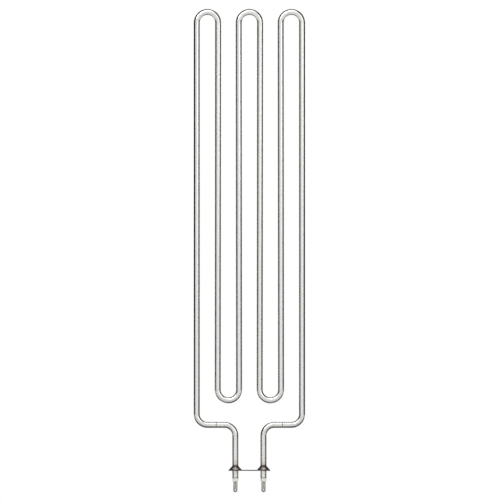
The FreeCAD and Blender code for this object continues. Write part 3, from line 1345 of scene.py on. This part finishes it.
@dataclass(frozen=True)
class MountingFlange:
    """The pressed plate with a conical boss round each leg and a screw hole."""

    leg_spacing: float = 40 * MM
    thickness: float = 1.5 * MM
    boss_base: float = 9.3 * MM
    boss_top: float = 5.6 * MM
    leg_hole: float = 4.35 * MM
    screw_hole: float = 2.15 * MM
    edge_radius: float = 0.25 * MM
    base_blend: float = 0.4 * MM
    top_blend: float = 0.5 * MM
    segments: int = 96
    screw_segments: int = 48
    # Where rings of points lie round a boss, as shares of a rounding or of the slope
    top_rings: tuple[float, ...] = (-0.5, -0.25, 0, 0.25, 0.5)
    slope_rings: tuple[float, ...] = (0.25, 0.5, 0.75)
    base_rings: tuple[float, ...] = (-0.5, -0.25, 0, 0.2)
    mouth_rings: tuple[float, ...] = (-0.5, 0, 0.5)
    finish: Finish = PressedFlangeSteel()

    def legs(self) -> list[Point]:
        """Where the two legs pass through."""
        return [(side.value * self.leg_spacing / 2, 0.0) for side in Side]

    def within(self, radius: float, point: Point, blend: float) -> float:
        """How far inside a radius round a leg a point lies, 0 outside it and softened there."""
        return softened(radius - min(math.dist(point, leg) for leg in self.legs()), blend)

    def build(self) -> None:
        """Makes the flange in place of its node."""
        low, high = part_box("mounting_flange")
        half, rise = (high.y - low.y) / 2, high.z - low.z - self.thickness
        taper = self.boss_base - self.boss_top
        slope = rise / taper
        mouth = self.boss_base - self.thickness * (math.hypot(rise, taper) - taper) / rise

        def front(point: Point) -> float:
            """The upper face's height.

            Args:
                point: a place on the face.

            Returns:
                The height, which is level round each boss and on top of it.
            """
            past_top = self.within(self.boss_top, point, self.top_blend)
            past_foot = self.within(self.boss_base, point, self.base_blend)
            return self.thickness + slope * (past_foot - past_top)

        def back(point: Point) -> float:
            """The lower face's height, which makes each boss hollow."""
            return slope * self.within(mouth, point, self.base_blend)

        bends = sorted(
            start + size * share
            for start, size, shares in (
                (self.boss_top, self.top_blend, self.top_rings),
                (self.boss_top, taper, self.slope_rings),
                (self.boss_base, self.base_blend, self.base_rings),
                (mouth, self.base_blend, self.mouth_rings),
            )
            for share in shares
        )
        outer = []
        for leg, turn in zip(self.legs()[::-1], (-QUARTER_TURN, QUARTER_TURN)):
            outer += arc(leg, half, turn, math.pi, self.segments // 2)
        holes = [circle(leg, self.leg_hole, self.segments)[::-1] for leg in self.legs()]
        holes.append(circle((0.0, 0.0), self.screw_hole, self.screw_segments)[::-1])
        sheet = PressedSheet(
            edges=[outer, *holes],
            creases=[circle(leg, bend, self.segments) for leg in self.legs() for bend in bends],
            front=front, back=back, edge_radius=self.edge_radius,
            lie=Run.LEVEL, origin=Vector((0, 0, low.z)),
        )
        material = self.finish.material()
        sheet.mesh().piece("pressed_flange", "flange_steel", material, "mounting_flange")


@dataclass(frozen=True)
class BladeTerminals:
    """The flat blade welded to each pin, with a round tip and a latching hole."""

    hole_diameter: float = 1.6 * MM
    hole_from_tip: float = 3.3 * MM
    edge_radius: float = 0.15 * MM
    weld_radius: float = 0.9 * MM
    weld_depth: float = 0.12 * MM
    weld_drops: tuple[float, ...] = (1.7 * MM, 4.3 * MM)  # below the blade's upper edge
    weld_rings: tuple[float, ...] = (0.15, 0.35, 0.55, 0.75, 1.0, 1.4)  # in weld radii
    heat_reach: float = 2.0  # in weld radii too
    weld_segments: int = 24
    hole_segments: int = 32
    tip_segments: int = 32
    finish: Finish = PlatedBladeSteel()

    def build(self) -> None:
        """Makes both blades in place of their nodes."""
        material = self.finish.material()
        for side in Side:
            node = f"tab_terminal_{side.label}"
            low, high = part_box(node)
            self.mesh(low, high).piece(f"blade_{side.label}", "blade_steel", material, node)

    def mesh(self, low: Vector, high: Vector) -> Mesh:
        """The blade.

        Args:
            low: one corner of its box.
            high: the corner across from it.

        Returns:
            The mesh, with a mark that is 1 at a weld and fades out round it.
        """
        half, length, depth = (high.x - low.x) / 2, high.z - low.z, (high.y - low.y) / 2
        welds = [(0.0, length - drop) for drop in self.weld_drops]

        def from_weld(point: Point) -> float:
            """How many weld radii a point lies from the nearer weld."""
            return min(math.dist(point, weld) for weld in welds) / self.weld_radius

        def heat(point: Point) -> float:
            """How much a weld has heated a point."""
            return max(0.0, 1 - from_weld(point) / self.heat_reach)

        def front(point: Point) -> float:
            """The front face, dished at the welds."""
            share = min(1.0, from_weld(point))
            return depth - self.weld_depth * (1 + math.cos(math.pi * share)) / 2

        def back(point: Point) -> float:
            """The flat back face."""
            return -depth

        tip = arc((0.0, half), half, math.pi, math.pi, self.tip_segments)
        hole = circle((0.0, self.hole_from_tip), self.hole_diameter / 2, self.hole_segments)
        dishes = [
            circle(weld, self.weld_radius * share, self.weld_segments)
            for weld in welds for share in self.weld_rings
        ]
        middle = (low + high) / 2
        sheet = PressedSheet(
            edges=[tip + [(half, length), (-half, length)], hole[::-1]],
            creases=dishes, front=front, back=back, edge_radius=self.edge_radius,
            lie=Run.UPRIGHT, origin=Vector((middle.x, middle.y, low.z)),
        )
        return sheet.mesh({"weld": heat})


@dataclass(frozen=True)
class PinWelds:
    """The rounded end of each pin and the flash of its weld on the back of the blade."""

    pin_radius: float = 1.5 * MM
    dome: float = 0.5 * MM
    dome_rings: int = 6
    flash_width: float = 0.32 * MM
    flash_height: float = 0.3 * MM
    flash_face: tuple[Point, ...] = ((1, 0), (0.75, 0.3), (0.35, 0.55), (0, 1))  # in its sizes
    flash_overlap: float = 0.12 * MM
    flash_drop: float = 0.3 * MM  # from the blade's upper edge to the upper end of the flash
    segments: int = 32
    finish: Finish = WELD_FLASH

    def end(self, centre: Vector) -> Mesh:
        """The rounded lower end of a pin that has a flat on its front.

        Args:
            centre: the middle of the pin's axis at its cut end, on the flat's plane.

        Returns:
            The mesh.
        """
        vertices = []
        for ring in range(self.dome_rings + 1):
            angle = QUARTER_TURN * ring / self.dome_rings
            drop = self.dome * math.sin(angle)
            for x, y in circle((0.0, 0.0), self.pin_radius * math.cos(angle), self.segments):
                vertices.append(Vector((centre.x + x, max(centre.y, y), centre.z - drop)))
        faces = ring_faces(self.dome_rings + 1, self.segments)
        return Mesh(vertices, [*faces, tuple(range(self.segments))])

    def flash(self, centre: Vector, top: float) -> Mesh:
        """The flash round the sides and end of a pin.

        Args:
            centre: the middle of the pin's axis at its cut end, on the flat's plane.
            top: the height of the blade's upper edge.

        Returns:
            The mesh.
        """
        half = math.sqrt(self.pin_radius**2 - centre.y**2)
        upper = top - self.flash_drop - centre.z
        route = [(Vector((-half, upper)), unit(math.pi))]
        for step in range(self.segments + 1):
            way = unit(math.pi + math.pi * step / self.segments)
            route.append((Vector((half * way.x, self.dome * way.y)), way))
        route.append((Vector((half, upper)), unit(0.0)))
        face = [(self.flash_width * x, self.flash_height * y) for x, y in self.flash_face]
        section = [(-self.flash_overlap, 0.0), *face, (-self.flash_overlap, self.flash_height)]
        vertices = []
        for spot, outward in route:
            for offset, rise in section:
                flat = spot + outward * offset
                vertices.append(Vector((centre.x + flat.x, centre.y + rise, centre.z + flat.y)))
        count = len(section)
        caps = [tuple(range(count)), tuple(range(len(vertices) - count, len(vertices)))]
        return Mesh(vertices, ring_faces(len(route), count) + caps)

    def build(self) -> None:
        """Makes the end and the flash of both pins, which keep their own nodes."""
        material = self.finish.material()
        for side in Side:
            low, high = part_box(f"tab_terminal_{side.label}")
            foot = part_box(f"terminal_pin_{side.label}")[0].z
            centre = Vector(((low.x + high.x) / 2, high.y, foot))
            self.end(centre).piece(f"pin_end_{side.label}", "pin_steel", material)
            self.flash(centre, high.z).piece(f"weld_flash_{side.label}", "pin_steel", material)


@dataclass(frozen=True)
class InnerParts:
    """The pieces that keep their own solids: pins, coil, magnesia and seals."""

    finishes: tuple[tuple[Finish, tuple[str, ...]], ...] = (
        (TurnedPinSteel(), ("terminal_pin_left", "terminal_pin_right")),
        (OXIDISED_WIRE, ("resistance_coil",)),
        (PACKED_MAGNESIA, ("magnesia_fill",)),
        (CURED_RESIN, ("end_seal_left", "end_seal_right")),
    )

    def build(self) -> None:
        """Gives each node its finish."""
        for finish, nodes in self.finishes:
            material = finish.material()
            for node in nodes:
                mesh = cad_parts[node].data
                mesh.materials.clear()
                mesh.materials.append(material)
                LOG.info("%s: %s", node, finish.name)


# Studio


@dataclass(frozen=True)
class SoftLamp:
    """A square lamp aimed at the middle of the element."""

    name: str
    azimuth: float
    elevation: float
    distance: float
    width: float
    light: float  # what a white card that faces it shows

    def hang(self, target: Vector) -> None:
        """Hangs the lamp.

        Args:
            target: the point that it is aimed at.
        """
        azimuth, elevation = math.radians(self.azimuth), math.radians(self.elevation)
        out, up = math.cos(elevation), math.sin(elevation)
        way = Vector((math.sin(azimuth) * out, -math.cos(azimuth) * out, up))
        light = bpy.data.lights.new(self.name, "AREA")
        light.shape = "SQUARE"
        light.size = self.width
        light.energy = self.light * (math.pi * self.distance) ** 2
        lamp = placed(self.name, light)
        lamp.location = target + way * self.distance
        lamp.rotation_euler = way.to_track_quat("Z", "Y").to_euler()


@dataclass(frozen=True)
class DrawingCamera:
    """The level camera without perspective that the photograph was drawn from."""

    photo_width: int = 500
    photo_centre: Point = (250, 250)
    photo_origin: Point = (249.40, 470.855)  # where the frame's origin lies in the photograph
    metres_per_pixel: float = 1.4225 * MM
    distance: float = 3.0
    reach: float = 20.0

    def build(self) -> None:
        """Sets up the camera."""
        data = bpy.data.cameras.new("camera")
        data.type = "ORTHO"
        data.ortho_scale = self.photo_width * self.metres_per_pixel
        data.clip_end = self.reach
        camera = placed("camera", data)
        across = (self.photo_centre[0] - self.photo_origin[0]) * self.metres_per_pixel
        up = (self.photo_origin[1] - self.photo_centre[1]) * self.metres_per_pixel
        camera.location = (across, -self.distance, up)
        camera.rotation_euler = (QUARTER_TURN, 0, 0)
        bpy.context.scene.camera = camera


@dataclass(frozen=True)
class Studio:
    """A white room with soft lamps, and a dark arch and mat for the metal's edges."""

    room_light: float = 0.42
    level: float = CAD_BOX[0].z
    middle: float = (CAD_BOX[0].z + CAD_BOX[1].z) / 2
    rim_segments: int = 96
    paper_radius: float = 6.0
    paper_fade: Range = (0.5, 1.6)  # how far out the paper starts to turn white, and is white
    paper_greys: tuple[Colour, Colour] = (grey(0.93), grey(0.9))
    paper_roughness: float = 0.9
    fibre_spacing: float = 2.5 * MM
    lamps: tuple[SoftLamp, ...] = (
        SoftLamp("key_lamp", -35, 40, 2.2, 1.3, 0.4),
        SoftLamp("fill_lamp", 50, 20, 2.4, 1.6, 0.2),
        SoftLamp("top_lamp", 15, 64, 2.2, 1.3, 0.16),
        SoftLamp("back_lamp", 180, 25, 2.4, 1.2, 0.2),
    )
    arch_from: float = math.radians(56)  # where its sides start, turned from the camera's way
    arch_crown: float = math.radians(91)  # where the arch starts at its highest point
    arch_notch: float = 6.0  # how narrow the step back at that point is
    arch_to: float = math.radians(166)
    arch_radius: float = 2.0
    arch_rings: int = 12
    arch_steps: int = 48
    arch_grey: float = 0.01
    mat_radius: float = 1.9
    mat_front: float = 60 * MM
    mat_fade: Range = (0.25, 1.1)
    mat_greys: tuple[float, float] = (0.1, 0.68)  # near the element and further out
    mat_lift: float = 0.5 * MM
    hidden_rays: tuple[str, ...] = ("camera", "diffuse", "transmission", "volume_scatter", "shadow")

    def build(self) -> None:
        """Sets up the room, lamps and cards."""
        self.white_world()
        self.paper()
        for lamp in self.lamps:
            lamp.hang(Vector((0, 0, self.middle)))
        self.arch()
        self.mat()

    def white_world(self) -> None:
        """A white surrounding that lights the element at a plain level."""
        world = bpy.data.worlds.new("white_room")
        bpy.context.scene.world = world
        world.use_nodes = True
        shader = Shader(world.node_tree)
        strength = self.room_light + shader.seen() * (1 - self.room_light)
        sockets = {"Color": grey(1.0), "Strength": strength}
        shader.show(shader.add("ShaderNodeBackground", "Background", {}, sockets), "World")

    def sheet(self, name: str, vertices: list[Vector], faces: list[Face] | None = None,
              mirrored_only: bool = False) -> Shader:
        """Sets up a sheet that belongs to the studio.

        Args:
            name: the name of the sheet and of its material.
            vertices: its corners.
            faces: its faces, unless it is one face round all its corners.
            mirrored_only: whether nothing but a mirroring surface sees it.

        Returns:
            The shader of its material, which has no surface yet.
        """
        mesh = bpy.data.meshes.new(name)
        mesh.from_pydata(vertices, [], faces or [tuple(range(len(vertices)))])
        material, shader = new_material(name)
        mesh.materials.append(material)
        sheet = placed(name, mesh)
        for ray in self.hidden_rays if mirrored_only else ():
            setattr(sheet, f"visible_{ray}", False)
        return shader

    def paper(self) -> None:
        """The floor: pale paper that keeps the shadow and turns white further out."""
        rim = circle((0.0, 0.0), self.paper_radius, self.rim_segments)
        shader = self.sheet("paper_floor", [Vector((x, y, self.level)) for x, y in rim])
        place = shader.place()
        away = shader.ease(shader.distance(place, (0, 0, self.level)), *self.paper_fade)
        fibre = shader.noise(place, self.fibre_spacing, detail=3.0)
        colour = shader.blend(fibre, *self.paper_greys)
        paper = shader.principled({"Base Color": colour, "Roughness": self.paper_roughness})
        shader.show(shader.mixed(shader.seen() * away, paper, shader.glow(1.0)))

    def arch(self) -> None:
        """A dark arch round the back of the element, from the floor up, that only metal mirrors."""
        vertices = []
        for ring in range(self.arch_rings + 1):
            share = ring / self.arch_rings
            side = self.arch_from + (self.arch_to - self.arch_from) * share
            crown = self.arch_crown + (self.arch_to - self.arch_crown) * share
            dip = math.asin((self.middle - self.level) / (self.arch_radius * math.sin(side)))
            for step in range(self.arch_steps + 1):
                turn = (math.pi + 2 * dip) * step / self.arch_steps - dip
                angle = side + (crown - side) * max(0.0, math.sin(turn)) ** self.arch_notch
                out, back = self.arch_radius * math.sin(angle), -self.arch_radius * math.cos(angle)
                across, up = out * math.cos(turn), out * math.sin(turn)
                vertices.append(Vector((across, back, self.middle + up)))
        faces = ring_faces(self.arch_rings + 1, self.arch_steps + 1, closed=False)
        shader = self.sheet("dark_arch", vertices, faces, mirrored_only=True)
        shader.show(shader.glow(self.arch_grey))

    def mat(self) -> None:
        """A mat under and behind the element, paler further out, that only metal mirrors."""
        level = self.level + self.mat_lift
        rim = circle((0.0, 0.0), self.mat_radius, self.rim_segments)
        corners = [(x, y) for x, y in rim if y >= 0]
        corners += [(side.value * self.mat_radius, -self.mat_front) for side in Side]
        vertices = [Vector((x, y, level)) for x, y in corners]
        shader = self.sheet("grey_mat", vertices, mirrored_only=True)
        away = shader.ease(shader.distance(shader.place(), (0, 0, level)), *self.mat_fade)
        shader.show(shader.mixed(away, *(shader.glow(shown) for shown in self.mat_greys)))


def main() -> None:
    """Builds the sub-assemblies from the tube outwards, then the studio and its camera."""
    logging.basicConfig(level=logging.INFO, format="%(name)s: %(message)s")
    for assembly in (SheathTube, MountingFlange, BrazedJoints, CeramicBeads, BladeTerminals,
                     PinWelds, InnerParts, Studio, DrawingCamera):
        assembly().build()
    bpy.context.scene.view_settings.view_transform = "Standard"


if __name__ == "__main__":
    main()
